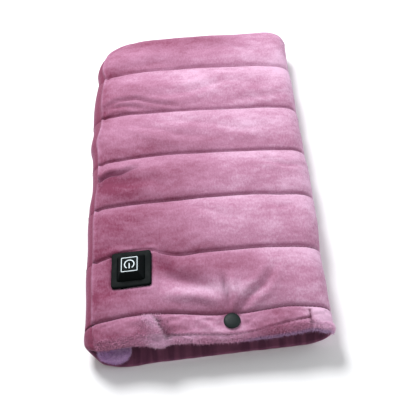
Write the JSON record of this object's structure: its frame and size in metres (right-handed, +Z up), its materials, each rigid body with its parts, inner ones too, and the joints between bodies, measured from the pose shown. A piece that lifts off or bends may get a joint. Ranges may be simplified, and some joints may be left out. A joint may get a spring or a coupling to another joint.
{
  "type": "usb hand warmer",
  "caption": "Quilted plush hand warmer pouch with an open snap-closed mouth, inner heating pads and a raised push switch.",
  "frame": {"origin": "on the surface that the pouch lies on, under the middle of its length and width", "axes": "+X across the pouch's width, +Y from the mouth to the closed end, +Z up"},
  "size_m": [0.2, 0.364, 0.0448],
  "materials": {
    "plush": "short pink plush",
    "lining": "brushed lilac lining",
    "wadding": "white polyester wadding",
    "felt": "grey needled felt",
    "carbon": "printed carbon heating track",
    "black_plastic": "fine matt black",
    "white_plastic": "white nylon",
    "light_guide": "milky light guide",
    "snap_metal": "dark grey-green enamel",
    "steel": "zinc plated",
    "laminate": "green solder mask",
    "lead_rubber": "black sleeve"
  },
  "bodies": {
    "root": {"cover_top_panel": "plush", "cover_bottom_panel": "plush", "mouth_band_top": "plush", "mouth_band_bottom": "plush", "wadding_top": "wadding", "wadding_bottom": "wadding", "lining_bag": "lining", "snap_stud": "snap_metal", "snap_back_cap": "snap_metal", "heating_pad_top": "felt", "heating_pad_bottom": "felt", "heating_track_top": "carbon", "heating_track_bottom": "carbon", "track_terminal_top": "white_plastic", "track_terminal_bottom": "white_plastic", "thermal_cutoff_top": "steel", "thermal_cutoff_bottom": "steel", "heater_lead_top": "lead_rubber", "heater_lead_bottom": "lead_rubber", "supply_lead": "lead_rubber", "cable_grommet": "lead_rubber", "lead_bush": "lead_rubber", "switch_plate": "black_plastic", "switch_housing": "black_plastic", "circuit_board": "laminate", "tact_switch_body": "black_plastic", "status_led": "light_guide", "control_chip": "black_plastic", "housing_screw_1": "steel", "housing_screw_2": "steel", "housing_screw_3": "steel", "housing_screw_4": "steel"},
    "key": {"switch_key": "black_plastic", "legend_light_guide": "light_guide"},
    "plunger": {"tact_plunger": "white_plastic"},
    "snap_upper": {"snap_cap": "snap_metal", "snap_socket": "snap_metal"}
  },
  "joints": [
    {"name": "key_press", "type": "slide", "parent": "root", "child": "key", "axis": [0.0872, 0, -0.9962], "range_m": [0, 0.001], "stiffness_N_per_m": 1500},
    {"name": "plunger_press", "type": "slide", "parent": "root", "child": "plunger", "axis": [0.0872, 0, -0.9962], "range_m": [0, 0.00075]},
    {"name": "snap_close", "type": "slide", "parent": "root", "child": "snap_upper", "axis": [0, 0, -1], "range_m": [0, 0.0058], "stiffness_N_per_m": 60, "deforming": ["mouth_band_top"]}
  ],
  "couplings": [
    {"joint": "plunger_press", "follows": "key_press", "ratio": 0.75}
  ]
}
